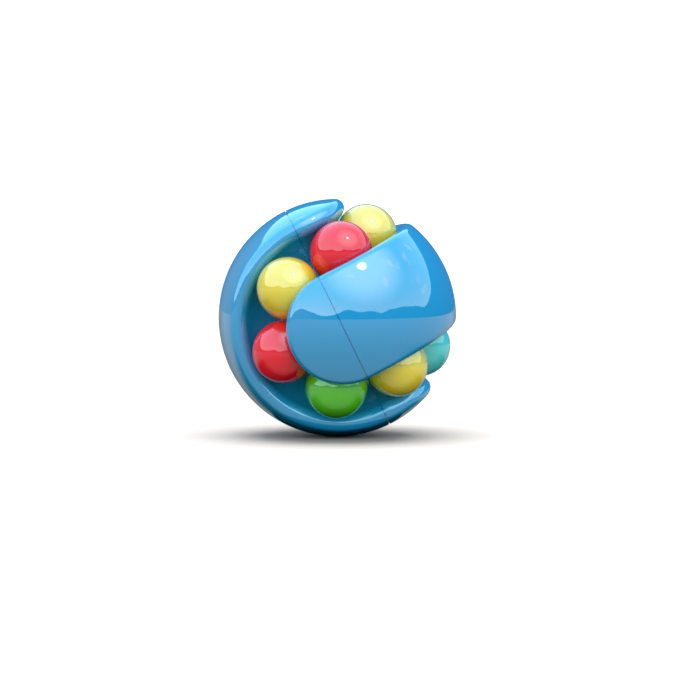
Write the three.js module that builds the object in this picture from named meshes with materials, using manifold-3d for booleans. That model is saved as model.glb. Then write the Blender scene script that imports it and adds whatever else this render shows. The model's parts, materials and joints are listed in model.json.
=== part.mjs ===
// A rolling-ball maze puzzle: two hollow hemispheres on one sprung axle, with an endless
// track like the seam of a tennis ball, filled by a train of loose balls.
//
// Frame of the puzzle itself: z runs along the axle. The left half lies at z < 0 and its
// two ball rings are turned about x. The right half is the same moulding turned half a
// turn about the line x = y, so its rings are turned about y.
import * as THREE from "three";
import { mergeVertices } from "three/addons/utils/BufferGeometryUtils.js";
import Module from "manifold-3d";

// Driving dimensions, in millimetres and degrees.
const sphereDiameter = 70;
const ballCover = 0.26; // from the top of a ball up to the sphere's surface
const ballGap = 0.2; // spare length between two neighbouring balls
const channelClearance = 0.3; // round a ball in its channel
const lipCatch = 0.4; // how far each lip reaches over a ball
const rimRadius = 2.6; // rounding of the channel's rims
const wall = 2.2;
const splitGap = 0.3; // between the two halves
const seatGap = 0.3; // between pieces that seat on each other
const boreGap = 0.25; // round a shank in its hole

const axleDiameter = 4;
const axleHeadDiameter = 7.6;
const axleHeadHeight = 2.6;
const axleHeadRoom = 2.83; // from the head up to the pole plug
const axleBevel = 0.4;
const axleSocketWidth = 3;
const axleSocketDepth = 1.6;
const axleThreadOut = 0.9; // thread left standing out of the nut
const nutWall = 1.5; // from the thread to each flat of the nut
const nutHeight = 3.2;
const hexGap = 0.2; // on each flat of the nut, in its pocket
const pocketSink = 0.5; // from the hub's face down to the pocket's floor
const bossWall = 1.8;
const thrustWasherDiameter = 9.4;
const thrustWasherThickness = 0.8;
const headWasherDiameter = 9;
const headWasherThickness = 0.8;
const springWire = 0.9;
const springClearance = 0.5; // between the axle and the coils
const springPitch = 1.475;

const screwDiameter = 2.5;
const screwHeadDiameter = 4.6;
const screwHeadHeight = 1.6;
const screwHeadBevel = 0.5;
const screwHeadSink = 0.15; // least depth of a head under the split face
const screwLength = 9;
const screwInset = 3.6; // from the seat of the bridge to a screw's centre
const screwSlotWidth = 0.7;
const screwSlotLength = 2.8;
const screwSlotDepth = 0.8;
const earWidth = 8;
const earThickness = 3.6;
const earMargin = 1.2;
const bossBlockDepth = 8.4;
const ribThickness = 1.6;
const ribSetback = 3; // from the split face down to a rib

const plugDiameter = 12;
const plugThickness = 2;
const plugSkirtWall = 0.8;
const plugSkirtDepth = 2.2;
const plugLedge = 0.6; // how far the plug's disc stands over its skirt
const collarWall = 1.5;
const collarDepth = 5.4;

const axleLean = 26; // the axle's rise over the ground
const rollAboutAxle = 4.2;

// How finely round surfaces are divided: pieces of a full turn, and degrees for each step
// along an arc of a section. Hidden hollows are coarser.
const ringSegments = 36;
const shaftSegments = 20;
const coilSegments = 12;
const ballDetail = 2;
const channelStep = 18;
const rimStep = 28;
const sphereStep = 9;
const hollowStep = 30;

// Derived sizes. Three balls fill half a ring with 60 degrees between them, so a ring's
// radius equals the distance between two neighbours.
const sphereRadius = sphereDiameter / 2;
const ballRadius = (sphereRadius - ballCover - ballGap * Math.SQRT2) / (1 + 2 * Math.SQRT2);
const ringRadius = 2 * ballRadius + ballGap;
const trackDistance = ringRadius * Math.SQRT2; // from the sphere's centre to a ball's centre
const channelRadius = ballRadius + channelClearance;
const lipHalfWidth = ballRadius - lipCatch;
const splitFace = -splitGap / 2;
const hubFace = ringRadius - seatGap / 2;
const bridgeFace = ringRadius + seatGap / 2;
const plugRadius = plugDiameter / 2;
const plugUnderside = Math.sqrt(sphereRadius ** 2 - plugRadius ** 2) - plugThickness;
const axleRadius = axleDiameter / 2;
const nutWidth = axleDiameter + 2 * nutWall;
const bossTop = -(thrustWasherThickness / 2 + seatGap);
const pocketFloor = hubFace + pocketSink;
const pocketDepth = nutHeight + 2 * seatGap;
const bossEnd = pocketFloor + pocketDepth;
const pocketWidth = nutWidth + 2 * hexGap;
const bossRadius = pocketWidth / Math.sqrt(3) + bossWall;
const headEnd = plugUnderside - axleHeadRoom;
const headStart = headEnd - axleHeadHeight;
const headWasherStart = headStart - seatGap - headWasherThickness;
const springStart = pocketFloor + seatGap;
const springHeight = headWasherStart - seatGap - springStart;
const springTurns = (springHeight - springWire) / springPitch;
const springRadius = axleRadius + springClearance + springWire / 2; // to the wire's centre
const screwRadius = screwDiameter / 2;
const screwHoleRadius = screwRadius + boreGap;
const screwPlace = ringRadius + screwInset;
const screwHeadRoom = screwHeadDiameter / 2 + seatGap;
const earReach = screwPlace + screwHeadRoom + earMargin;
const plugHoleRadius = plugRadius + seatGap;
const skirtRadius = plugRadius - plugLedge;
const collarBore = skirtRadius + seatGap;
const collarRadius = plugHoleRadius + collarWall;

const bodyBlue = new THREE.MeshStandardMaterial({ color: 0x1f8fd6, roughness: 0.12 });
const innerNavy = new THREE.MeshStandardMaterial({ color: 0x14508c, roughness: 0.25 });
const steel = new THREE.MeshStandardMaterial({ color: 0xb9bcc0, roughness: 0.3, metalness: 1 });
const nylon = new THREE.MeshStandardMaterial({ color: 0xe8e6df, roughness: 0.5 });
const ballColours = { yellow: 0xf2ef8e, red: 0xe3303d, green: 0x3fa535, turquoise: 0x35b8be };
const ballMaterials = Object.fromEntries(
  Object.entries(ballColours).map(([name, color]) => [
    name,
    new THREE.MeshStandardMaterial({ color, roughness: 0.15 }),
  ]),
);

const wasm = await Module();
wasm.setup();
const { degToRad, radToDeg } = THREE.MathUtils;

// A closed three.js geometry as a manifold-3d solid.
function solidOf(geometry) {
  const bare = geometry.clone();
  bare.deleteAttribute("normal");
  bare.deleteAttribute("uv");
  const merged = mergeVertices(bare, 1e-4);
  return new wasm.Manifold(
    new wasm.Mesh({
      numProp: 3,
      vertProperties: merged.attributes.position.array,
      triVerts: new Uint32Array(merged.index.array),
    }),
  );
}

// A manifold-3d solid as a flat-shaded three.js geometry.
function geometryOf(solid) {
  const mesh = solid.getMesh();
  const geometry = new THREE.BufferGeometry();
  geometry.setAttribute("position", new THREE.BufferAttribute(mesh.vertProperties, 3));
  geometry.setIndex(new THREE.BufferAttribute(mesh.triVerts, 1));
  const flat = geometry.toNonIndexed();
  flat.computeVertexNormals();
  return flat;
}

function meshOf(name, shape, material) {
  const geometry = shape.isBufferGeometry ? shape : geometryOf(shape);
  const mesh = new THREE.Mesh(geometry, material);
  mesh.name = name;
  return mesh;
}

// A solid of revolution about y from [radius, height] points, which close on themselves or
// on the axis. The points may run either way round.
function latheOf(points, segments) {
  const outline = points.map(([radius, height]) => new THREE.Vector2(radius, height));
  const ordered = THREE.ShapeUtils.area(outline) > 0 ? outline : outline.reverse();
  const closed = ordered.concat(ordered[0].clone());
  const touchesAxis = ordered.some((p) => p.x === 0);
  const run = touchesAxis ? openAtAxis(ordered) : closed;
  return new THREE.LatheGeometry(run, segments);
}

// The same outline, started where it leaves the axis, so that no face lies along the axis.
function openAtAxis(outline) {
  const last = outline.length - 1;
  const start = outline.findIndex((p, i) => p.x === 0 && outline[i < last ? i + 1 : 0].x > 0);
  return outline.slice(start).concat(outline.slice(0, start));
}

const turnedAboutX = (points) => solidOf(latheOf(points, ringSegments).rotateZ(-Math.PI / 2));
const turnedAboutZ = (points, segments = shaftSegments) =>
  solidOf(latheOf(points, segments).rotateX(Math.PI / 2));

// A plain cylinder about z, from one height to another.
const shaft = (radius, low, high, segments = shaftSegments) =>
  turnedAboutZ([[0, low], [radius, low], [radius, high], [0, high]], segments);

function block(low, high) {
  const size = high.map((v, i) => v - low[i]);
  const box = new THREE.BoxGeometry(...size);
  box.translate(...high.map((v, i) => (v + low[i]) / 2));
  return solidOf(box);
}

// The channel's section, in its own coordinates: u runs outwards from the sphere's centre
// through the ball's centre, and v across it, positive towards the ring's axis.
const fromChannel = (u, v) => [(u - v) / Math.SQRT2, (u + v) / Math.SQRT2];

// Points of an arc in the channel's coordinates, with angles from u towards v.
function channelArc(u, v, radius, from, to, step) {
  const steps = Math.max(2, Math.ceil(Math.abs(to - from) / step));
  return Array.from({ length: steps + 1 }, (_, i) => {
    const angle = degToRad(from + ((to - from) * i) / steps);
    return fromChannel(u + radius * Math.cos(angle), v + radius * Math.sin(angle));
  });
}

// An arc of a sphere about the centre, with angles from the ring's axis.
function sphereArc(radius, from, to, step) {
  const steps = Math.max(2, Math.ceil(Math.abs(to - from) / step));
  return Array.from({ length: steps + 1 }, (_, i) => {
    const angle = degToRad(from + ((to - from) * i) / steps);
    const reach = radius * Math.sin(angle);
    return [reach < 1e-9 ? 0 : reach, radius * Math.cos(angle)];
  });
}

const mirrored = (points) => points.map(([radius, height]) => [radius, -height]).reverse();

// Where an arc round the ball's centre reaches a given radius from the ring's axis.
function angleAtFace(radius, face) {
  const across = Math.sqrt(radius ** 2 - (ringRadius - face) ** 2);
  return 225 + radToDeg(Math.asin((face - ringRadius) / Math.hypot(across, face - ringRadius)));
}

const rimPlaceV = lipHalfWidth + rimRadius;
const rimPlaceU = Math.sqrt((sphereRadius - rimRadius) ** 2 - rimPlaceV ** 2);
const rimAngle = radToDeg(Math.atan2(rimPlaceV, rimPlaceU));
const lipAngle = radToDeg(Math.asin(lipHalfWidth / channelRadius));

// The outline of a half's hub: two caps joined by a spool, before it is hollowed and cut.
function hubOutline() {
  const spoolAngle = angleAtFace(channelRadius, hubFace);
  const right = [
    ...sphereArc(sphereRadius, 0, 45 - rimAngle, sphereStep),
    ...channelArc(rimPlaceU, rimPlaceV, rimRadius, rimAngle, -90, rimStep).slice(1),
    ...channelArc(trackDistance, 0, channelRadius, lipAngle, spoolAngle, channelStep),
  ];
  return [...right, ...mirrored(right)];
}

// The outline of the bridge, the band that arches over the pole between the two rings.
function bridgeOutline() {
  const footAngle = angleAtFace(channelRadius, bridgeFace);
  const right = [
    ...channelArc(trackDistance, 0, channelRadius, footAngle, 360 - lipAngle, channelStep),
    ...channelArc(rimPlaceU, -rimPlaceV, rimRadius, 90, -rimAngle, rimStep),
    ...sphereArc(sphereRadius, 45 + rimAngle, 90, sphereStep).slice(1),
  ];
  return [...right, ...mirrored(right).slice(1)];
}

const hollowRadius = sphereRadius - wall;
const hollowAcross = lipHalfWidth + wall;
const hollowAngle = radToDeg(Math.asin(hollowAcross / hollowRadius));
const hollowLipAngle = radToDeg(Math.asin(hollowAcross / (channelRadius + wall)));

function hubHollowOutline() {
  const radius = channelRadius + wall;
  const spoolAngle = angleAtFace(radius, hubFace - wall);
  const right = [
    ...sphereArc(hollowRadius, 0, 45 - hollowAngle, sphereStep),
    ...channelArc(trackDistance, 0, radius, hollowLipAngle, spoolAngle, hollowStep),
  ];
  return [...right, ...mirrored(right)];
}

function bridgeHollowOutline() {
  const radius = channelRadius + wall;
  const right = [
    [bridgeFace - wall, ringRadius - radius],
    ...channelArc(trackDistance, 0, radius, 225, 360 - hollowLipAngle, hollowStep),
    ...sphereArc(hollowRadius, 45 + hollowAngle, 90, sphereStep),
  ];
  return [...right, ...mirrored(right).slice(1)];
}

// Everything of the sphere under a height.
function below(height) {
  const reach = sphereRadius + 1;
  return block([-reach, -reach, -reach], [reach, reach, height]);
}

// The hub of the left half: caps, spool, ribs, axle boss with a hexagonal pocket at its
// far end, and two ears for the bridge's screws.
function hubSolid() {
  const outside = turnedAboutX(hubOutline());
  const reach = sphereRadius - wall / 2;
  const half = ribThickness / 2;
  const ribTop = splitFace - ribSetback;
  const ribs = block([-reach, -half, -reach], [reach, half, ribTop]).add(
    block([-half, -reach, -reach], [half, reach, ribTop]),
  );
  let hub = outside.subtract(turnedAboutX(hubHollowOutline())).add(ribs.intersect(outside));
  hub = hub.intersect(below(splitFace)).add(shaft(bossRadius, -bossEnd, bossTop));
  for (const side of [-1, 1]) {
    const ends = [hubFace - wall, earReach].map((y) => side * y).sort((a, b) => a - b);
    const ear = block(
      [-earWidth / 2, ends[0], splitFace - earThickness],
      [earWidth / 2, ends[1], splitFace],
    );
    const seat = splitFace - earThickness / 2 - seatGap;
    const hole = shaft(screwHoleRadius, splitFace - earThickness - 1, 1);
    const counterbore = shaft(screwHeadRoom, seat, 1);
    hub = hub.add(ear).subtract(hole.add(counterbore).translate([0, side * screwPlace, 0]));
  }
  const bore = shaft(axleRadius + boreGap, -bossEnd - 1, 1);
  const pocket = shaft(pocketWidth / Math.sqrt(3), -bossEnd - 1, -pocketFloor, 6);
  return hub.subtract(bore).subtract(pocket);
}

// The bridge of the left half: a hollow arch with a threaded block at each end and, at the
// pole, a collar that takes the plug.
function bridgeSolid() {
  const outside = turnedAboutX(bridgeOutline());
  const blockTop = splitFace - earThickness - seatGap;
  let bridge = outside.subtract(turnedAboutX(bridgeHollowOutline())).intersect(below(splitFace));
  const collar = shaft(collarRadius, -sphereRadius, -sphereRadius + collarDepth + 1);
  bridge = bridge.add(collar.intersect(outside));
  const room = block(
    [-sphereRadius, -earReach - seatGap, blockTop],
    [sphereRadius, earReach + seatGap, 1],
  );
  for (const side of [-1, 1]) {
    const ends = [bridgeFace, earReach + seatGap].map((y) => side * y).sort((a, b) => a - b);
    const end = block(
      [-sphereRadius, ends[0], blockTop - bossBlockDepth],
      [sphereRadius, ends[1], blockTop],
    );
    const pilot = shaft(screwHoleRadius, blockTop - bossBlockDepth - 1, 1);
    bridge = bridge
      .add(end.intersect(outside).subtract(room))
      .subtract(pilot.translate([0, side * screwPlace, 0]));
  }
  const bossRoom = shaft(bossRadius + seatGap, -bossEnd - seatGap, 1);
  const pole = shaft(collarBore, -sphereRadius - 1, -ringRadius);
  const mouth = shaft(plugHoleRadius, -sphereRadius - 1, -plugUnderside + seatGap);
  return bridge.subtract(bossRoom).subtract(pole).subtract(mouth);
}

// The plug that closes the axle's hole, with a crown that follows the sphere.
function plugSolid() {
  const edge = radToDeg(Math.asin(plugRadius / sphereRadius));
  const crown = [0, 0.5, 1].map((share) => {
    const angle = degToRad(share * edge);
    return [sphereRadius * Math.sin(angle), -sphereRadius * Math.cos(angle)];
  });
  const skirtEnd = -plugUnderside + plugSkirtDepth;
  return turnedAboutZ([
    ...crown,
    [plugRadius, -plugUnderside],
    [skirtRadius, -plugUnderside],
    [skirtRadius, skirtEnd],
    [skirtRadius - plugSkirtWall, skirtEnd],
    [skirtRadius - plugSkirtWall, -plugUnderside],
    [0, -plugUnderside],
  ]);
}

// A bridge screw, head up, with a cross recess.
function screwSolid() {
  const headTop = splitFace - earThickness / 2 + screwHeadHeight;
  const top = Math.min(headTop, splitFace - screwHeadSink);
  const underHead = top - screwHeadHeight;
  const tip = underHead - screwLength;
  const head = screwHeadDiameter / 2;
  const body = turnedAboutZ(
    [
      [0, tip],
      [screwRadius / 3, tip],
      [screwRadius, tip + screwRadius],
      [screwRadius, underHead],
      [head, underHead],
      [head, top - screwHeadBevel],
      [head - screwHeadBevel, top],
      [0, top],
    ],
    16,
  );
  const arm = screwSlotLength / 2;
  const half = screwSlotWidth / 2;
  const recess = block([-arm, -half, top - screwSlotDepth], [arm, half, top + 1]).add(
    block([-half, -arm, top - screwSlotDepth], [half, arm, top + 1]),
  );
  return body.subtract(recess);
}

// The axle: a shoulder screw with a hexagon socket in its head.
function axleSolid() {
  const tip = -(pocketFloor + seatGap + nutHeight + axleThreadOut);
  const head = axleHeadDiameter / 2;
  const body = turnedAboutZ([
    [0, tip],
    [axleRadius - axleBevel, tip],
    [axleRadius, tip + axleBevel],
    [axleRadius, headStart],
    [head, headStart],
    [head, headEnd - axleBevel],
    [head - axleBevel, headEnd],
    [0, headEnd],
  ]);
  const socket = shaft(axleSocketWidth / Math.sqrt(3), headEnd - axleSocketDepth, headEnd + 1, 6);
  return body.subtract(socket);
}

function nutSolid() {
  const low = -(pocketFloor + seatGap + nutHeight);
  const hexagon = shaft(nutWidth / Math.sqrt(3), low, low + nutHeight, 6);
  return hexagon.subtract(shaft(axleRadius + boreGap, low - 1, low + nutHeight + 1));
}

const washerSolid = (diameter, low, thickness) =>
  turnedAboutZ([
    [axleRadius + boreGap, low],
    [diameter / 2, low],
    [diameter / 2, low + thickness],
    [axleRadius + boreGap, low + thickness],
  ]);

class Helix extends THREE.Curve {
  constructor(radius, low, high, turns) {
    super();
    Object.assign(this, { radius, low, high, turns });
  }

  getPoint(t, target = new THREE.Vector3()) {
    const angle = 2 * Math.PI * this.turns * t;
    const height = this.low + (this.high - this.low) * t;
    return target.set(this.radius * Math.cos(angle), this.radius * Math.sin(angle), height);
  }
}

function springGeometry() {
  const wireRadius = springWire / 2;
  const low = springStart + wireRadius;
  const high = springStart + springHeight - wireRadius;
  const path = new Helix(springRadius, low, high, springTurns);
  const section = new THREE.Shape().absarc(0, 0, wireRadius, 0, 2 * Math.PI);
  return new THREE.ExtrudeGeometry(section, {
    steps: Math.round(springTurns * coilSegments),
    curveSegments: 3,
    extrudePath: path,
    bevelEnabled: false,
  });
}

// A ball of the left half at an angle along its ring. side is 1 for the ring about +x and
// -1 for the ring about -x.
function ballMesh(name, colour, side, angle) {
  const ball = new THREE.IcosahedronGeometry(ballRadius, ballDetail);
  const mesh = meshOf(name, ball, ballMaterials[colour]);
  const turn = degToRad(angle);
  mesh.position.set(
    side * ringRadius,
    -side * ringRadius * Math.cos(turn),
    -ringRadius * Math.sin(turn),
  );
  return mesh;
}

// One half with its two rings of balls, in the left half's place.
function halfGroup(side, rings) {
  const group = new THREE.Group();
  group.add(meshOf(`${side}_hub`, hubSolid(), bodyBlue));
  group.add(meshOf(`${side}_bridge`, bridgeSolid(), bodyBlue));
  group.add(meshOf(`${side}_pole_plug`, plugSolid(), bodyBlue));
  [-1, 1].forEach((end, i) => {
    const screw = meshOf(`${side}_bridge_screw_${i + 1}`, screwSolid(), steel);
    screw.position.y = end * screwPlace;
    group.add(screw);
  });
  for (const { name, ring, colours } of rings) {
    colours.forEach((colour, i) => {
      group.add(ballMesh(`${name}_ball_${colour}`, colour, ring, 30 + 60 * i));
    });
  }
  return group;
}

const leftHalf = halfGroup("left", [
  { name: "front", ring: 1, colours: ["yellow", "red", "green"] },
  { name: "back", ring: -1, colours: ["turquoise", "red", "green"] },
]);
const rightHalf = halfGroup("right", [
  { name: "lower", ring: 1, colours: ["green", "turquoise", "yellow"] },
  { name: "upper", ring: -1, colours: ["red", "yellow", "turquoise"] },
]);
rightHalf.quaternion.setFromAxisAngle(new THREE.Vector3(1, 1, 0).normalize(), Math.PI);

const axle = new THREE.Group();
axle.add(meshOf("axle_screw", axleSolid(), steel));
axle.add(meshOf("axle_nut", nutSolid(), steel));
axle.add(meshOf("axle_spring", springGeometry(), steel));
axle.add(
  meshOf("head_washer", washerSolid(headWasherDiameter, headWasherStart, headWasherThickness), steel),
);
axle.add(
  meshOf(
    "thrust_washer",
    washerSolid(thrustWasherDiameter, -thrustWasherThickness / 2, thrustWasherThickness),
    nylon,
  ),
);

// The puzzle lies on its left half with the axle leaning, its front cap towards -y.
const rolled = new THREE.Group();
rolled.rotation.z = degToRad(rollAboutAxle - 90);
rolled.add(leftHalf, rightHalf, axle);
const puzzle = new THREE.Group();
puzzle.rotation.y = degToRad(90 - axleLean);
puzzle.add(rolled);

export default puzzle;
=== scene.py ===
import json
import math

import bmesh
import bpy
from mathutils import Matrix, Vector


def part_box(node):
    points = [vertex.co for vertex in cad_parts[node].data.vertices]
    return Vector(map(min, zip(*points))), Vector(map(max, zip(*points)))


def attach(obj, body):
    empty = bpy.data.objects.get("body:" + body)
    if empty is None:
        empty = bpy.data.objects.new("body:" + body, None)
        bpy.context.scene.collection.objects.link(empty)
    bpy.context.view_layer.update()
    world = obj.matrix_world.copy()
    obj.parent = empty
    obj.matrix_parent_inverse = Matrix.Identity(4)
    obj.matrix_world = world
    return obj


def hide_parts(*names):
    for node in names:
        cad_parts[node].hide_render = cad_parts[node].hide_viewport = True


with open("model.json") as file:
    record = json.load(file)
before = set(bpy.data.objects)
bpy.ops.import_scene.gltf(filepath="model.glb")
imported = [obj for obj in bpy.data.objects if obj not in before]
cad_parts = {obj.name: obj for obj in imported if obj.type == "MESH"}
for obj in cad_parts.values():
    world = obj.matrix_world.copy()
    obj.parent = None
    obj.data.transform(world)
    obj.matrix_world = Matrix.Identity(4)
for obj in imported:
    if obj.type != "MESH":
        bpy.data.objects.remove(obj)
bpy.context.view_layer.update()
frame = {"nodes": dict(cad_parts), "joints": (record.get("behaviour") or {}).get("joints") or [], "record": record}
mm = 0.001
print("frame loaded")

# The puzzle's own axes in the row frame: x to the front cap, y to the lower cap, z up the axle.
# A half is modelled at z < 0; the right one is the same moulding turned over about x = y.
joints = {joint["name"]: joint for joint in frame["joints"]}
axleDirection = Vector(joints["half_turn"]["axis"])
frontDirection = -Vector(joints["ball_run"]["axis"])
lowerDirection = Vector(joints["lower_run"]["axis"])
puzzleTurn = Matrix((frontDirection, lowerDirection, axleDirection)).transposed().to_4x4()
otherHalf = Matrix.Rotation(math.pi, 4, Vector((1, 1, 0)))
placeOf = {"left": puzzleTurn, "right": puzzleTurn @ otherHalf}


def toLinear(code):
    parts = [int(code[i : i + 2], 16) / 255 for i in (1, 3, 5)]
    return [c / 12.92 if c <= 0.04045 else ((c + 0.055) / 1.055) ** 2.4 for c in parts] + [1.0]


def addNode(tree, kind, settings=None, values=None, links=None):
    node = tree.nodes.new(kind)
    for name, value in (settings or {}).items():
        setattr(node, name, value)
    for name, value in (values or {}).items():
        node.inputs[name].default_value = value
    for name, source in (links or {}).items():
        tree.links.new(source, node.inputs[name])
    return node


def newMaterial(name):
    material = bpy.data.materials.new(name)
    material.use_nodes = True
    material.node_tree.nodes.clear()
    return material, material.node_tree


# Gloss ABS from a polished mould. The eye gets a deep, even colour under a mirror skin, with
# the faintest orange peel in its reflections and a slow drift of shade where the melt flowed.
gloss = {
    "flowMm": 25.0,
    "flowDetail": 3.0,
    "peelDetail": 2.0,
    "peelHeightMm": 0.003,
    "roughness": 0.035,
    "ior": 1.58,
    "coatRoughness": 0.012,
}


def glossPlastic(name, colour, drift, peelMm, shine, coat):
    material, tree = newMaterial(name)
    place = addNode(tree, "ShaderNodeTexCoord").outputs["Object"]
    flow = addNode(
        tree,
        "ShaderNodeTexNoise",
        values={"Scale": 1 / (gloss["flowMm"] * mm), "Detail": gloss["flowDetail"]},
        links={"Vector": place},
    )
    base = toLinear(colour)[:3]
    shade = addNode(
        tree, "ShaderNodeMix", {"data_type": "RGBA"}, links={"Factor": flow.outputs["Fac"]}
    )
    shade.inputs["A"].default_value = [c * (1 - drift) for c in base] + [1.0]
    shade.inputs["B"].default_value = [min(1.0, c * (1 + drift)) for c in base] + [1.0]
    peel = addNode(
        tree,
        "ShaderNodeTexNoise",
        values={"Scale": 1 / (peelMm * mm), "Detail": gloss["peelDetail"]},
        links={"Vector": place},
    )
    bump = addNode(
        tree,
        "ShaderNodeBump",
        values={"Distance": gloss["peelHeightMm"] * mm},
        links={"Height": peel.outputs["Fac"]},
    )
    shader = addNode(
        tree,
        "ShaderNodeBsdfPrincipled",
        values={
            "Roughness": gloss["roughness"],
            "IOR": gloss["ior"],
            "Specular IOR Level": shine,
            "Coat Weight": coat,
            "Coat Roughness": gloss["coatRoughness"],
            "Coat IOR": gloss["ior"],
        },
        links={"Base Color": shade.outputs["Result"], "Normal": bump.outputs["Normal"]},
    )
    addNode(tree, "ShaderNodeOutputMaterial", links={"Surface": shader.outputs["BSDF"]})
    return material


bodyPlastic = glossPlastic("ABS moulded sky blue gloss", "#1CA5EC", 0.03, 3.0, 0.9, 1.0)
ballPlastic = {
    "yellow": glossPlastic("ABS moulded yellow gloss", "#FAEA40", 0.02, 4.0, 0.7, 1.0),
    "red": glossPlastic("ABS moulded red gloss", "#F81430", 0.02, 4.0, 0.5, 0.5),
    "green": glossPlastic("ABS moulded green gloss", "#58D420", 0.02, 4.0, 0.6, 0.8),
    "turquoise": glossPlastic("ABS moulded turquoise gloss", "#5CECFA", 0.02, 4.0, 0.6, 0.8),
}


# Plain metal: the eye gets a soft broken shine whose cloudiness comes from its finish.
cloudDetail = 4.0


def metal(name, colour, cloudMm, smoothest, roughest):
    material, tree = newMaterial(name)
    place = addNode(tree, "ShaderNodeTexCoord").outputs["Object"]
    cloud = addNode(
        tree,
        "ShaderNodeTexNoise",
        values={"Scale": 1 / (cloudMm * mm), "Detail": cloudDetail},
        links={"Vector": place},
    )
    rough = addNode(
        tree,
        "ShaderNodeMapRange",
        values={"To Min": smoothest, "To Max": roughest},
        links={"Value": cloud.outputs["Fac"]},
    )
    shader = addNode(
        tree,
        "ShaderNodeBsdfPrincipled",
        values={"Base Color": toLinear(colour), "Metallic": 1.0},
        links={"Roughness": rough.outputs["Result"]},
    )
    addNode(tree, "ShaderNodeOutputMaterial", links={"Surface": shader.outputs["BSDF"]})
    return material


# Nylon turned from rod: milky and slightly waxy, with the tool's fine grain.
nylon = {"colour": "#E6E2D6", "roughness": 0.45, "grainMm": 0.6, "grainHeightMm": 0.01}


def turnedNylon():
    material, tree = newMaterial("Nylon turned natural")
    place = addNode(tree, "ShaderNodeTexCoord").outputs["Object"]
    grain = addNode(
        tree,
        "ShaderNodeTexNoise",
        values={"Scale": 1 / (nylon["grainMm"] * mm)},
        links={"Vector": place},
    )
    bump = addNode(
        tree,
        "ShaderNodeBump",
        values={"Distance": nylon["grainHeightMm"] * mm},
        links={"Height": grain.outputs["Fac"]},
    )
    shader = addNode(
        tree,
        "ShaderNodeBsdfPrincipled",
        values={"Base Color": toLinear(nylon["colour"]), "Roughness": nylon["roughness"]},
        links={"Normal": bump.outputs["Normal"]},
    )
    addNode(tree, "ShaderNodeOutputMaterial", links={"Surface": shader.outputs["BSDF"]})
    return material


# The metal pieces and the washer keep their CAD shape, which is exact, and get a finish each.
sharpEdge = math.radians(32)
zincPlate = metal("Steel turned bright zinc plated", "#C3C6C9", 1.5, 0.22, 0.4)
springWire = metal("Spring steel drawn and oiled", "#6E7276", 0.8, 0.28, 0.42)
finishOf = {"thrust_washer": turnedNylon(), "axle_spring": springWire}
for name, node in frame["nodes"].items():
    node.data.materials.clear()
    node.data.materials.append(finishOf.get(name, zincPlate))
    node.data.shade_smooth()
    node.data.set_sharp_from_angle(angle=sharpEdge)
print("materials made")


shell = {
    "radius": 34.84,  # a true sphere just inside the frame's faceted one
    "ringRadius": 18.2,  # ball centres, from their ring's axis
    "channelRadius": 9.3,
    "lipHalfWidth": 8.6,
    "rimRadius": 2.6,
    "wall": 2.2,
    "splitGap": 0.3,
    "facesGap": 0.06,  # between the halves behind the seam's slot
    "slotDepth": 0.35,
    "bridgeGap": 0.08,  # between a hub and its bridge
    "ringSteps": 120,
    "capSteps": 12,
    "rimSteps": 14,
    "innerChannelSteps": 30,
    "outerChannelSteps": 14,
    "weld": 0.0005,
}
deepest = 225  # where the channel's section lies nearest the middle, in degrees
splitFace = -shell["splitGap"] / 2
nearFace = -shell["facesGap"] / 2
trackDistance = shell["ringRadius"] * math.sqrt(2)
rimV = shell["lipHalfWidth"] + shell["rimRadius"]
rimU = math.sqrt((shell["radius"] - shell["rimRadius"]) ** 2 - rimV**2)
rimAngle = math.degrees(math.atan2(rimV, rimU))


# The channel's section: u runs outwards through the ball's centre, v across it, positive
# towards the ring's axis. Points come back as (along the ring's axis, out from it).
def sectionPoint(u, v):
    return (u + v) / math.sqrt(2), (u - v) / math.sqrt(2)


def sectionArc(u, v, radius, start, end, steps):
    angles = [math.radians(start + (end - start) * i / steps) for i in range(steps + 1)]
    return [sectionPoint(u + radius * math.cos(a), v + radius * math.sin(a)) for a in angles]


def sphereArc(radius, start, end, steps):
    angles = [math.radians(start + (end - start) * i / steps) for i in range(steps + 1)]
    return [(radius * math.cos(a), radius * math.sin(a)) for a in angles]


def mirrored(points):
    return [(-x, out) for x, out in reversed(points)]


def lipAngle(inset):
    return math.degrees(
        math.asin((shell["lipHalfWidth"] + inset) / (shell["channelRadius"] + inset))
    )


# How far along the channel's arc a hub's face or a bridge's foot lies from the deepest line.
def footAngle(inset):
    return math.degrees(
        math.asin((shell["bridgeGap"] / 2 + inset) / (shell["channelRadius"] + inset))
    )


def hubOutside(inset):
    half = (
        sphereArc(shell["radius"] - inset, 0, 45 - rimAngle, shell["capSteps"])
        + sectionArc(
            rimU, rimV, shell["rimRadius"] - inset, rimAngle, -90, shell["rimSteps"]
        )[1:]
        + sectionArc(
            trackDistance,
            0,
            shell["channelRadius"] + inset,
            lipAngle(inset),
            deepest - footAngle(inset),
            shell["innerChannelSteps"],
        )
    )
    return half + mirrored(half)


def bridgeOutside(inset):
    half = (
        sectionArc(
            trackDistance,
            0,
            shell["channelRadius"] + inset,
            deepest + footAngle(inset),
            360 - lipAngle(inset),
            shell["outerChannelSteps"],
        )
        + sectionArc(
            rimU, -rimV, shell["rimRadius"] - inset, 90, -rimAngle, shell["rimSteps"]
        )
        + sphereArc(shell["radius"] - inset, 45 + rimAngle, 90, shell["capSteps"])[1:]
    )
    return half + mirrored(half)[1:]


hollowSteps = {"cap": 6, "innerChannel": 14, "outerChannel": 8, "pole": 8}
hollowRadius = shell["radius"] - shell["wall"]
hollowAngle = math.degrees(math.asin((shell["lipHalfWidth"] + shell["wall"]) / hollowRadius))


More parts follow.
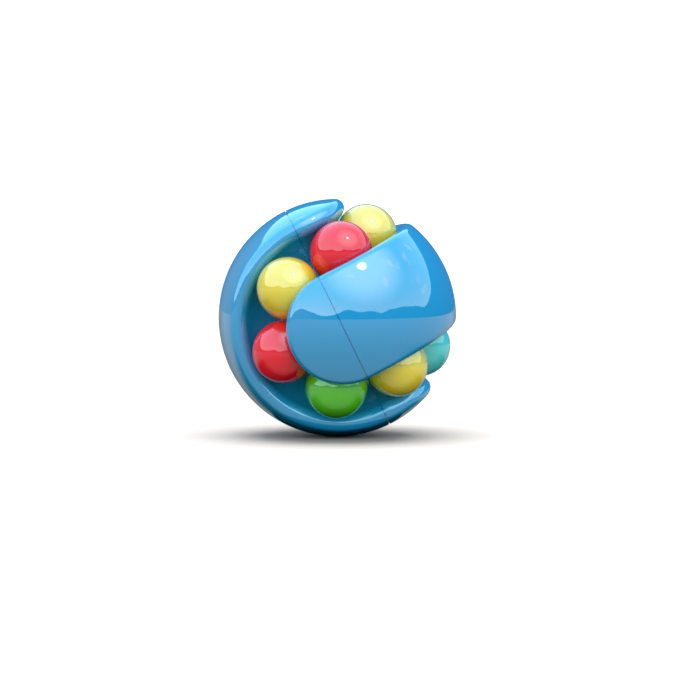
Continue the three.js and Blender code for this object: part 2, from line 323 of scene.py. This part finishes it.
def hubHollow():
    half = sphereArc(hollowRadius, 0, 45 - hollowAngle, hollowSteps["cap"]) + sectionArc(
        trackDistance,
        0,
        shell["channelRadius"] + shell["wall"],
        lipAngle(shell["wall"]),
        deepest - footAngle(shell["wall"]),
        hollowSteps["innerChannel"],
    )
    return half + mirrored(half)


def bridgeHollow():
    hollowChannel = shell["channelRadius"] + shell["wall"]
    half = (
        [(shell["ringRadius"] - hollowChannel, shell["ringRadius"] - shell["wall"])]
        + sectionArc(
            trackDistance,
            0,
            hollowChannel,
            deepest,
            360 - lipAngle(shell["wall"]),
            hollowSteps["outerChannel"],
        )
        + sphereArc(hollowRadius, 45 + hollowAngle, 90, hollowSteps["pole"])
    )
    return half + mirrored(half)[1:]


# Half a turn of an outline about x, cut off flat at a height and closed there.
def halfTurned(outline, closedOutline, top):
    bm = bmesh.new()
    verts = [bm.verts.new((x, out, 0)) for x, out in outline]
    edges = [bm.edges.new(pair) for pair in zip(verts, verts[1:])]
    if closedOutline:
        edges.append(bm.edges.new((verts[-1], verts[0])))
    bmesh.ops.spin(
        bm,
        geom=verts + edges,
        cent=(0, 0, 0),
        axis=(1, 0, 0),
        angle=-math.pi,
        steps=shell["ringSteps"],
    )
    bmesh.ops.remove_doubles(bm, verts=bm.verts[:], dist=shell["weld"])
    bmesh.ops.bisect_plane(
        bm,
        geom=bm.verts[:] + bm.edges[:] + bm.faces[:],
        dist=shell["weld"],
        plane_co=(0, 0, top),
        plane_no=(0, 0, 1),
        clear_outer=True,
    )
    rims = [edge for edge in bm.edges if edge.is_boundary]
    bmesh.ops.triangle_fill(bm, edges=rims, use_beauty=True)
    bmesh.ops.recalc_face_normals(bm, faces=bm.faces[:])
    return bm


# How many sides a round has, by its size.
sides = {"hole": 32, "bore": 48, "boss": 64, "plug": 96, "nut": 6}


def cylinder(radius, low, high, sideCount, at=(0, 0)):
    bm = bmesh.new()
    bmesh.ops.create_cone(
        bm, cap_ends=True, segments=sideCount, radius1=radius, radius2=radius, depth=high - low
    )
    bmesh.ops.translate(bm, verts=bm.verts[:], vec=(at[0], at[1], (low + high) / 2))
    return bm


def brick(low, high):
    bm = bmesh.new()
    bmesh.ops.create_cube(bm, size=1)
    bmesh.ops.scale(bm, verts=bm.verts[:], vec=[b - a for a, b in zip(low, high)])
    bmesh.ops.translate(bm, verts=bm.verts[:], vec=[(a + b) / 2 for a, b in zip(low, high)])
    return bm


def objectOf(bm, name):
    mesh = bpy.data.meshes.new(name)
    bm.to_mesh(mesh)
    bm.free()
    made = bpy.data.objects.new(name, mesh)
    bpy.context.scene.collection.objects.link(made)
    return made


# The shape of a working object, which is thrown away.
def takeShape(piece):
    bm = bmesh.new()
    bm.from_mesh(piece.data)
    mesh = piece.data
    bpy.data.objects.remove(piece)
    bpy.data.meshes.remove(mesh)
    return bm


# Joins to, or cuts from, a piece each of the given shapes in turn.
def carve(piece, steps):
    for operation, bm in steps:
        cutter = objectOf(bm, "cutter")
        modifier = piece.modifiers.new("carve", "BOOLEAN")
        modifier.operation = operation
        modifier.solver = "EXACT"
        modifier.object = cutter
        evaluated = piece.evaluated_get(bpy.context.evaluated_depsgraph_get())
        mesh = bpy.data.meshes.new_from_object(evaluated)
        piece.modifiers.clear()
        old = piece.data
        piece.data = mesh
        bpy.data.meshes.remove(old)
        used = cutter.data
        bpy.data.objects.remove(cutter)
        bpy.data.meshes.remove(used)


# Half a moulding's outside. Its edge along the split is stepped, so that the two halves show
# a dark slot between them and no light passes through it.
def steppedHalf(name, outline, closedOutline):
    piece = objectOf(halfTurned(outline(0), closedOutline, splitFace), name)
    carve(piece, [("UNION", halfTurned(outline(shell["slotDepth"]), closedOutline, nearFace))])
    return piece


# Booleans leave slivers and a pinhole or two: weld, close, and turn every face outwards.
def closeMesh(mesh):
    bm = bmesh.new()
    bm.from_mesh(mesh)
    bmesh.ops.remove_doubles(bm, verts=bm.verts[:], dist=shell["weld"])
    bmesh.ops.dissolve_degenerate(bm, edges=bm.edges[:], dist=shell["weld"])
    rims = [edge for edge in bm.edges if edge.is_boundary]
    bmesh.ops.holes_fill(bm, edges=rims, sides=0)
    bmesh.ops.recalc_face_normals(bm, faces=bm.faces[:])
    bm.to_mesh(mesh)
    bm.free()


def finishPiece(piece, material, matrix, body, slot, *nodes):
    closeMesh(piece.data)
    piece.data.transform(matrix @ Matrix.Scale(mm, 4))
    piece.data.materials.clear()
    piece.data.materials.append(material)
    piece.data.shade_smooth()
    piece.data.set_sharp_from_angle(angle=sharpEdge)
    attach(piece, body)
    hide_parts(*nodes)
    return piece


def finishMoulding(piece, side, node):
    return finishPiece(
        piece, bodyPlastic, placeOf[side], f"{side}_half", "body_gloss_blue", f"{side}_{node}"
    )


hubInside = {
    "ribThickness": 1.6,
    "ribTop": -3.15,
    "bossRadius": 6.07,
    "bossTop": -0.7,
    "bossEnd": -22.35,
    "boreRadius": 2.25,
    "pocketAcrossCorners": 8.54,
    "pocketFloor": -18.55,
    "earWidth": 8.0,
    "earThickness": 3.6,
    "earReach": 25.6,
    "screwPlace": 21.8,
    "screwHole": 1.5,
    "counterbore": 2.6,
    "counterboreFloor": -2.25,
    "overcut": 1.5,  # how far a cutter runs past what it cuts
}


def hub(side):
    over = hubInside["overcut"]
    reach = shell["radius"] - shell["wall"] / 2
    rib = hubInside["ribThickness"] / 2
    ribTop = hubInside["ribTop"]
    bossRadius, bossEnd = hubInside["bossRadius"], hubInside["bossEnd"]
    hollow = objectOf(halfTurned(hubHollow(), False, over), "hollow")
    carve(
        hollow,
        [
            ("DIFFERENCE", brick((-reach, -rib, -reach), (reach, rib, ribTop))),
            ("DIFFERENCE", brick((-rib, -reach, -reach), (rib, reach, ribTop))),
            ("DIFFERENCE", cylinder(bossRadius, -reach, hubInside["bossTop"], sides["boss"])),
        ],
    )
    piece = steppedHalf(f"{side}_hub_moulding", hubOutside, False)
    steps = [
        ("DIFFERENCE", takeShape(hollow)),
        ("UNION", cylinder(bossRadius, bossEnd, hubInside["pocketFloor"] + over, sides["boss"])),
    ]
    earStart = shell["ringRadius"] - shell["wall"]
    halfEar = hubInside["earWidth"] / 2
    earUnder = splitFace - hubInside["earThickness"]
    for end in (-1, 1):
        low, high = sorted((end * earStart, end * hubInside["earReach"]))
        place = (0, end * hubInside["screwPlace"])
        steps += [
            ("UNION", brick((-halfEar, low, earUnder), (halfEar, high, splitFace))),
            (
                "DIFFERENCE",
                cylinder(hubInside["screwHole"], earUnder - over, over, sides["hole"], place),
            ),
            (
                "DIFFERENCE",
                cylinder(
                    hubInside["counterbore"],
                    hubInside["counterboreFloor"],
                    over,
                    sides["bore"],
                    place,
                ),
            ),
        ]
    hexRadius = hubInside["pocketAcrossCorners"] / 2
    steps += [
        ("DIFFERENCE", cylinder(hubInside["boreRadius"], bossEnd - over, over, sides["bore"])),
        (
            "DIFFERENCE",
            cylinder(hexRadius, bossEnd - over, hubInside["pocketFloor"], sides["nut"]),
        ),
    ]
    carve(piece, steps)
    return finishMoulding(piece, side, "hub")


bridgeInside = {
    "blockTop": -4.05,
    "blockDepth": 8.4,
    "blockReach": 25.9,
    "collarRadius": 7.8,
    "collarBore": 5.7,
    "collarEnd": -29.6,
    "plugHole": 6.12,
    "plugSeat": -32.18,
}


def bridge(side):
    over = hubInside["overcut"]
    past = -shell["radius"] - over
    blockTop = bridgeInside["blockTop"]
    blockEnd = blockTop - bridgeInside["blockDepth"]
    hollow = objectOf(halfTurned(bridgeHollow(), True, over), "hollow")
    keep = []
    for end in (-1, 1):
        inner = shell["ringRadius"] - shell["wall"] - over
        low, high = sorted((end * inner, end * bridgeInside["blockReach"]))
        width = shell["ringRadius"]
        keep.append(("DIFFERENCE", brick((-width, low, blockEnd), (width, high, blockTop))))
    collar = cylinder(
        bridgeInside["collarRadius"], past, bridgeInside["collarEnd"], sides["boss"]
    )
    carve(hollow, keep + [("DIFFERENCE", collar)])
    piece = steppedHalf(f"{side}_bridge_moulding", bridgeOutside, True)
    steps = [("DIFFERENCE", takeShape(hollow))]
    for end in (-1, 1):
        place = (0, end * hubInside["screwPlace"])
        hole = cylinder(hubInside["screwHole"], blockEnd - over, over, sides["hole"], place)
        steps.append(("DIFFERENCE", hole))
    steps += [
        (
            "DIFFERENCE",
            cylinder(bridgeInside["collarBore"], past, -shell["ringRadius"], sides["boss"]),
        ),
        (
            "DIFFERENCE",
            cylinder(
                bridgeInside["plugHole"], past, bridgeInside["plugSeat"], sides["plug"]
            ),
        ),
    ]
    carve(piece, steps)
    return finishMoulding(piece, side, "bridge")


for side in ("left", "right"):
    hub(side)
    bridge(side)
print("halves made")


plug = {
    "radius": 6.0,
    "thickness": 2.0,
    "skirt": 5.4,
    "skirtWall": 0.8,
    "skirtDepth": 2.2,
    "edge": 0.25,
    "crownSteps": 12,
    "edgeSteps": 6,
}


def polePlug(side):
    radius, edge, skirt = plug["radius"], plug["edge"], plug["skirt"]
    flat = radius - edge
    crownSteps, edgeSteps = plug["crownSteps"], plug["edgeSteps"]
    outs = [flat * i / crownSteps for i in range(crownSteps + 1)]
    crown = [(out, math.sqrt(shell["radius"] ** 2 - out**2)) for out in outs]
    shoulder = crown[-1][1] - edge
    turns = [math.pi / 2 * (i + 1) / edgeSteps for i in range(edgeSteps)]
    corner = [(flat + edge * math.sin(a), shoulder + edge * math.cos(a)) for a in turns]
    under = math.sqrt(shell["radius"] ** 2 - radius**2) - plug["thickness"]
    lowest = under - plug["skirtDepth"]
    inner = skirt - plug["skirtWall"]
    below = [
        (radius, under),
        (skirt, under),
        (skirt, lowest),
        (inner, lowest),
        (inner, under),
        (0, under),
    ]
    bm = bmesh.new()
    verts = [bm.verts.new((out, 0, -height)) for out, height in crown + corner + below]
    edges = [bm.edges.new(pair) for pair in zip(verts, verts[1:])]
    bmesh.ops.spin(
        bm,
        geom=verts + edges,
        cent=(0, 0, 0),
        axis=(0, 0, 1),
        angle=2 * math.pi,
        steps=sides["plug"],
        use_merge=True,
    )
    bmesh.ops.remove_doubles(bm, verts=bm.verts[:], dist=shell["weld"])
    bmesh.ops.recalc_face_normals(bm, faces=bm.faces[:])
    return finishMoulding(objectOf(bm, f"{side}_plug_moulding"), side, "pole_plug")


for side in ("left", "right"):
    polePlug(side)


ball = {"radius": 9.0, "subdivisions": 6}


def ballPiece(node, body):
    colour = node.split("_")[-1]
    low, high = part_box(node)
    bm = bmesh.new()
    bmesh.ops.create_icosphere(bm, subdivisions=ball["subdivisions"], radius=ball["radius"])
    piece = objectOf(bm, f"{node}_moulding")
    centre = Matrix.Translation((low + high) / 2)
    return finishPiece(piece, ballPlastic[colour], centre, body, f"ball_{colour}", node)


for body, members in frame["record"]["behaviour"]["bodies"].items():
    if body.endswith("_balls"):
        for node in members:
            ballPiece(node, body)
print("plugs and balls made")


# The floor takes a shadow but throws no light back at the puzzle. A small dark sheet just below
# it, which only the puzzle sees, is painted shade under the puzzle and darkens its underside.
floor = {"colour": "#B5B2B0", "radius": 6.0, "sides": 96}
# Painted shade: a dark sheet standing in for the shaded ground right under the puzzle.
paintedShadeCard = {"colour": "#0A2A22", "radius": 0.024, "sides": 96, "drop": 0.0001}


def layer(name, look, height):
    bm = bmesh.new()
    bmesh.ops.create_circle(
        bm, cap_ends=True, segments=look["sides"], radius=look["radius"]
    )
    sheet = objectOf(bm, name)
    sheet.location.z = height
    material, tree = newMaterial(f"Paper matt {name}")
    shader = addNode(tree, "ShaderNodeBsdfDiffuse", values={"Color": toLinear(look["colour"])})
    addNode(tree, "ShaderNodeOutputMaterial", links={"Surface": shader.outputs["BSDF"]})
    sheet.data.materials.append(material)
    return sheet


def makeFloor():
    ground = -shell["radius"] * mm
    sheet = layer("floor", floor, ground)
    sheet.visible_glossy = False
    sheet.visible_diffuse = False
    # The painted shade sheet, seen only in the puzzle's reflections and bounce light.
    under = layer("paintedShadeCard", paintedShadeCard, ground - paintedShadeCard["drop"])
    under.visible_camera = False
    under.visible_shadow = False
    return sheet


# The room. White to the camera. Reflections see a bay: bright sky, a low ridge that rises
# beyond the puzzle, and pale water that darkens under it. Matt surfaces see soft light from
# above and in front over dull ground. A pair says where a change starts and ends, as a part of
# the unit direction.
room = {
    "white": 1.4,
    "zenith": "#86D4F8",
    "skyMiddle": "#ACE8FA",
    "skyLow": "#E6FBFF",
    "skyLevels": (0.0, 0.35, 0.9),
    "skyLeft": 2.4,
    "skyRight": 1.8,
    "skyDims": (-0.5, 0.7),
    "cloudScale": 5.0,
    "cloudDetail": 7.0,
    "cloudEdge": (0.6, 0.72),
    "cloudCover": 0.6,
    "ridgeScale": 1.1,
    "ridgeDetail": 2.0,
    "ridgeEdge": (0.3, 0.7),
    "ridgeLow": 0.05,
    "ridgeHigh": 0.2,
    "ridgeBeyond": 0.5,
    "beyondRises": (-0.05, 0.8),
    "middleShare": 0.75,  # of the rise beyond, straight behind the puzzle
    "middleEdge": (0.0, 0.4),
    "ridgeBlur": 0.006,
    "ridgeColour": "#4392CF",
    "hazeColour": "#9DB1BD",
    "hazeEdge": (-0.7, -0.1),
    "ridgeStrength": 0.9,
    "waterNear": "#C0CDD2",
    "waterFar": "#ABADA6",
    "waterFarDepth": 0.4,
    "waterStrength": 1.0,
    "shoreBlur": 0.003,
    "shade": "#0E3536",
    "shadeDepth": (0.25, 0.5),
    "shadeBeyond": (-0.4, 0.2),
    "rimShade": 0.6,
    "rimEdge": (0.75, 1.0),
    "sunDirection": (0.333, -0.538, 0.775),
    "sunRadius": 0.4,  # degrees
    "sunEdge": 5.5,
    "haloRadius": 42.0,
    "sunStrength": 12.0,
    "haloStrength": 1.5,
    "fillAbove": "#FFFFFF",
    "fillSide": "#E0DBBE",
    "fillUnder": "#5E5028",
    "fillUnderEdge": (-0.5, -0.05),
    "fillHorizon": (-0.15, 0.15),
    "fillDepth": (-0.8, 0.8),
    "fillFront": 1.4,
    "fillBeyond": 0.75,
}


def ramp(tree, factor, stops):
    node = addNode(tree, "ShaderNodeValToRGB", links={"Fac": factor})
    elements = node.color_ramp.elements
    while len(elements) < len(stops):
        elements.new(0.5)
    for element, (position, colour) in zip(elements, stops):
        element.position = position
        element.color = toLinear(colour)
    return node.outputs["Color"]


def between(tree, value, edges, start=0.0, end=1.0):
    low, high = edges
    node = addNode(
        tree,
        "ShaderNodeMapRange",
        {"interpolation_type": "SMOOTHSTEP"},
        {"From Min": low, "From Max": high, "To Min": start, "To Max": end},
        {"Value": value},
    )
    return node.outputs["Result"]


def arithmetic(tree, operation, first, second):
    node = addNode(tree, "ShaderNodeMath", {"operation": operation})
    for i, term in enumerate((first, second)):
        if isinstance(term, (int, float)):
            node.inputs[i].default_value = term
        else:
            tree.links.new(term, node.inputs[i])
    return node.outputs["Value"]


def background(tree, colour, strength):
    node = addNode(tree, "ShaderNodeBackground")
    for name, term in (("Color", colour), ("Strength", strength)):
        if isinstance(term, (int, float, list)):
            node.inputs[name].default_value = term
        else:
            tree.links.new(term, node.inputs[name])
    return node.outputs["Background"]


def mixShaders(tree, factor, first, second):
    node = addNode(tree, "ShaderNodeMixShader", links={"Fac": factor})
    tree.links.new(first, node.inputs[1])
    tree.links.new(second, node.inputs[2])
    return node.outputs["Shader"]


def noise(tree, direction, scale, detail):
    node = addNode(
        tree,
        "ShaderNodeTexNoise",
        values={"Scale": scale, "Detail": detail, "Roughness": 0.5},
        links={"Vector": direction},
    )
    return node.outputs["Fac"]


def mixColours(tree, factor, first, second):
    node = addNode(tree, "ShaderNodeMix", {"data_type": "RGBA"}, links={"Factor": factor})
    for name, term in (("A", first), ("B", second)):
        if isinstance(term, list):
            node.inputs[name].default_value = term
        else:
            tree.links.new(term, node.inputs[name])
    return node.outputs["Result"]


def sunGlow(tree, direction):
    toSun = addNode(
        tree, "ShaderNodeVectorMath", {"operation": "DOT_PRODUCT"}, links={0: direction}
    )
    toSun.inputs[1].default_value = Vector(room["sunDirection"]).normalized()
    near = toSun.outputs["Value"]
    disc, edge, halo = [
        math.cos(math.radians(room[name])) for name in ("sunRadius", "sunEdge", "haloRadius")
    ]
    glow = arithmetic(
        tree,
        "ADD",
        between(tree, near, (edge, disc), 0.0, room["sunStrength"]),
        between(tree, near, (halo, edge), 0.0, room["haloStrength"]),
    )
    return background(tree, toLinear("#FFFFFF"), glow)


def reflectedSky(tree, direction, across, beyond, height):
    level = addNode(
        tree, "ShaderNodeVectorMath", {"operation": "MULTIPLY"}, links={0: direction}
    )
    level.inputs[1].default_value = (1, 1, 0)
    hills = noise(tree, level.outputs["Vector"], room["ridgeScale"], room["ridgeDetail"])
    ridge = between(tree, hills, room["ridgeEdge"], room["ridgeLow"], room["ridgeHigh"])
    sideways = arithmetic(tree, "MULTIPLY", across, across)
    rise = arithmetic(
        tree,
        "MULTIPLY",
        between(tree, beyond, room["beyondRises"], 0.0, room["ridgeBeyond"]),
        between(tree, sideways, room["middleEdge"], room["middleShare"]),
    )
    ridge = arithmetic(tree, "ADD", ridge, rise)
    overRidge = arithmetic(tree, "SUBTRACT", height, ridge)
    skyColours = room["skyLow"], room["skyMiddle"], room["zenith"]
    sky = ramp(tree, height, list(zip(room["skyLevels"], skyColours)))
    puffs = noise(tree, direction, room["cloudScale"], room["cloudDetail"])
    cover = between(tree, puffs, room["cloudEdge"], 0.0, room["cloudCover"])
    clouded = mixColours(tree, cover, sky, toLinear("#FFFFFF"))
    brightness = between(tree, across, room["skyDims"], room["skyLeft"], room["skyRight"])
    shining = addNode(
        tree,
        "ShaderNodeAddShader",
        links={0: background(tree, clouded, brightness), 1: sunGlow(tree, direction)},
    ).outputs["Shader"]
    hazy = mixColours(
        tree,
        between(tree, across, room["hazeEdge"]),
        toLinear(room["hazeColour"]),
        toLinear(room["ridgeColour"]),
    )
    ridgeLight = background(tree, hazy, room["ridgeStrength"])
    outline = between(tree, overRidge, (-room["ridgeBlur"], room["ridgeBlur"]))
    return mixShaders(tree, outline, ridgeLight, shining)


def reflectedBay(tree, direction, across, beyond, height):
    depth = arithmetic(tree, "MULTIPLY", height, -1.0)
    farWater = room["waterFarDepth"], room["waterFar"]
    water = ramp(tree, depth, [(0.0, room["waterNear"]), farWater])
    shaded = arithmetic(
        tree,
        "MULTIPLY",
        between(tree, depth, room["shadeDepth"]),
        between(tree, beyond, room["shadeBeyond"]),
    )
    rim = between(tree, beyond, room["rimEdge"], 0.0, room["rimShade"])
    shaded = arithmetic(tree, "MAXIMUM", shaded, rim)
    water = mixColours(tree, shaded, water, toLinear(room["shade"]))
    below = background(tree, water, room["waterStrength"])
    above = reflectedSky(tree, direction, across, beyond, height)
    waterline = between(tree, height, (-room["shoreBlur"], room["shoreBlur"]))
    return mixShaders(tree, waterline, below, above)


def softFill(tree, beyond, height):
    side = mixColours(
        tree,
        between(tree, height, room["fillUnderEdge"]),
        toLinear(room["fillUnder"]),
        toLinear(room["fillSide"]),
    )
    horizon = between(tree, height, room["fillHorizon"])
    colour = mixColours(tree, horizon, side, toLinear(room["fillAbove"]))
    strength = between(tree, beyond, room["fillDepth"], room["fillFront"], room["fillBeyond"])
    return background(tree, colour, strength)


def makeWorld():
    world = bpy.data.worlds.new("studio")
    bpy.context.scene.world = world
    world.use_nodes = True
    tree = world.node_tree
    tree.nodes.clear()
    direction = addNode(tree, "ShaderNodeTexCoord").outputs["Generated"]
    parts = addNode(tree, "ShaderNodeSeparateXYZ", links={"Vector": direction})
    across, beyond, height = parts.outputs["X"], parts.outputs["Y"], parts.outputs["Z"]
    paths = addNode(tree, "ShaderNodeLightPath")
    white = background(tree, toLinear("#FFFFFF"), room["white"])
    seen = mixShaders(
        tree, paths.outputs["Is Camera Ray"], softFill(tree, beyond, height), white
    )
    bay = reflectedBay(tree, direction, across, beyond, height)
    addNode(
        tree,
        "ShaderNodeOutputWorld",
        links={"Surface": mixShaders(tree, paths.outputs["Is Glossy Ray"], seen, bay)},
    )


# A wide, even light from straight overhead draws the pool of shadow under the puzzle. It falls
# on the floor alone.
lamp = {"strength": 5.0, "angle": 60.0}


def makeLights(sheet):
    data = bpy.data.lights.new("overhead", "SUN")
    data.energy = lamp["strength"]
    data.angle = math.radians(lamp["angle"])
    overhead = bpy.data.objects.new("overhead", data)
    bpy.context.scene.collection.objects.link(overhead)
    overhead.visible_glossy = False
    lit = bpy.data.collections.new("lit by the overhead light")
    lit.objects.link(sheet)
    overhead.light_linking.receiver_collection = lit


# A long lens, aimed at the puzzle's middle from a little above and to the left, with a small
# shift that leaves more room to the right and below.
camera = {
    "distance": 0.63,
    "azimuth": -1.35,
    "elevation": 1.9,
    "lens": 110.31,
    "sensor": 36.0,
    "shift": (0.018, -0.0464),
    "clip": (0.01, 50),
}


def makeCamera():
    turn, lift = math.radians(camera["azimuth"]), math.radians(camera["elevation"])
    level = math.cos(lift)
    back = Vector((math.sin(turn) * level, -math.cos(turn) * level, math.sin(lift)))
    data = bpy.data.cameras.new("camera")
    seen = bpy.data.objects.new("camera", data)
    bpy.context.scene.collection.objects.link(seen)
    bpy.context.scene.camera = seen
    seen.location = back * camera["distance"]
    seen.rotation_mode = "QUATERNION"
    seen.rotation_quaternion = back.to_track_quat("Z", "Y")
    data.sensor_width, data.lens = camera["sensor"], camera["lens"]
    data.shift_x, data.shift_y = camera["shift"]
    data.clip_start, data.clip_end = camera["clip"]


sheet = makeFloor()
makeWorld()
makeLights(sheet)
makeCamera()
bpy.context.scene.view_settings.view_transform = "Standard"
print("stage set")
